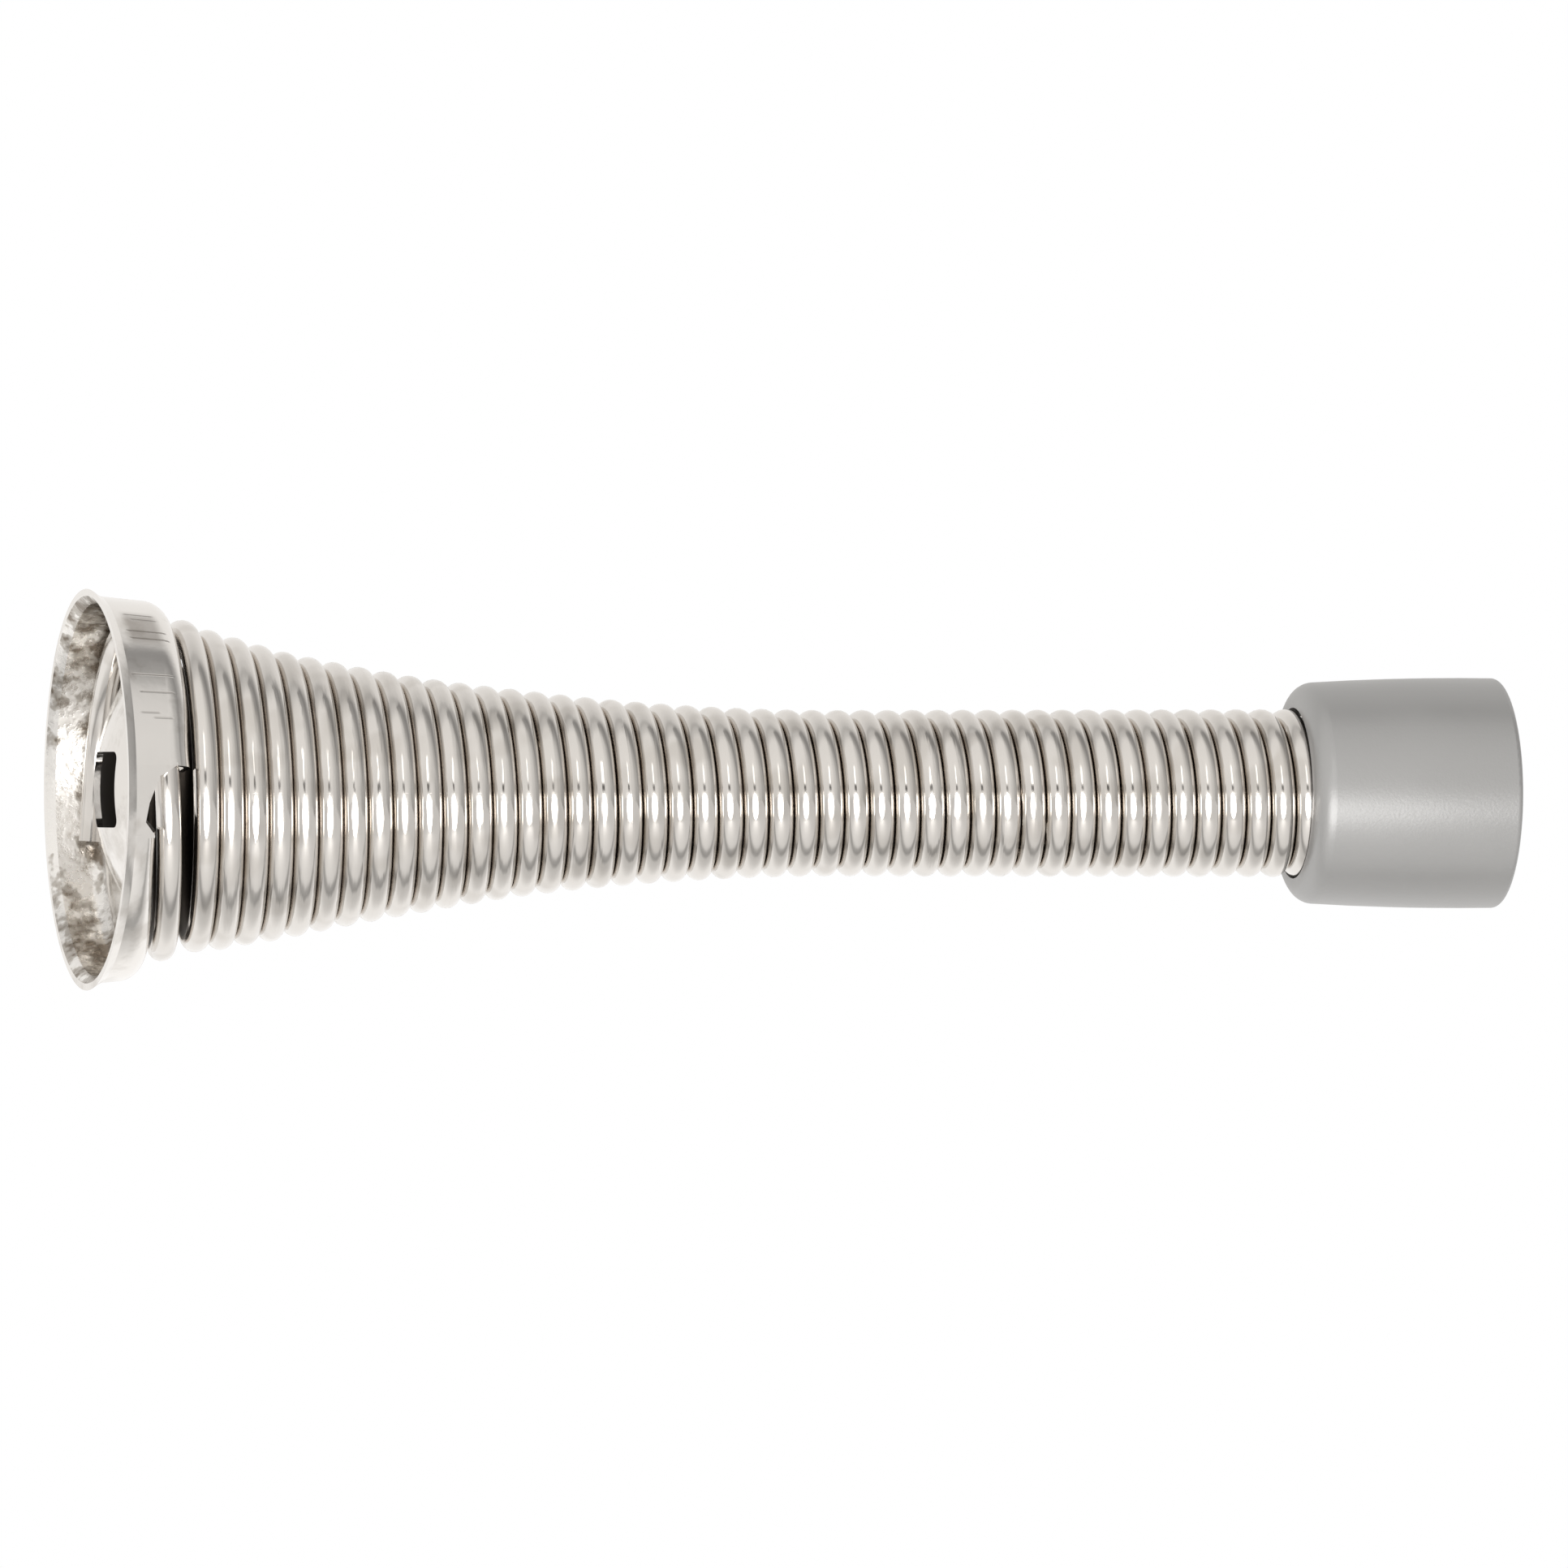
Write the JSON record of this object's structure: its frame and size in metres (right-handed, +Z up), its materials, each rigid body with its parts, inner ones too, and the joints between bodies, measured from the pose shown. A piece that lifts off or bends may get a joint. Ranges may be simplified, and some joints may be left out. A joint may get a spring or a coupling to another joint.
{
  "type": "spring door stop",
  "caption": "Wall-mounted spring door stop: stamped cup with a slot for one fixing, close-wound spring flared at the wall end, and a soft round tip.",
  "frame": {"origin": "centre of the cup's rim, in the plane of the wall", "axes": "+X away from the wall, +Z up; the spring leans 6.2 degrees from +X towards -Y, as in the picture"},
  "size_m": [0.0798, 0.026, 0.022],
  "materials": {
    "cup_plating": "bright nickel plate over stamped steel",
    "wire_plating": "bright nickel plate over drawn steel wire",
    "tip_rubber": "matte, light grey"
  },
  "bodies": {
    "root": {"base_cup": "cup_plating", "spring": "wire_plating", "rubber_tip": "tip_rubber"}
  },
  "joints": []
}
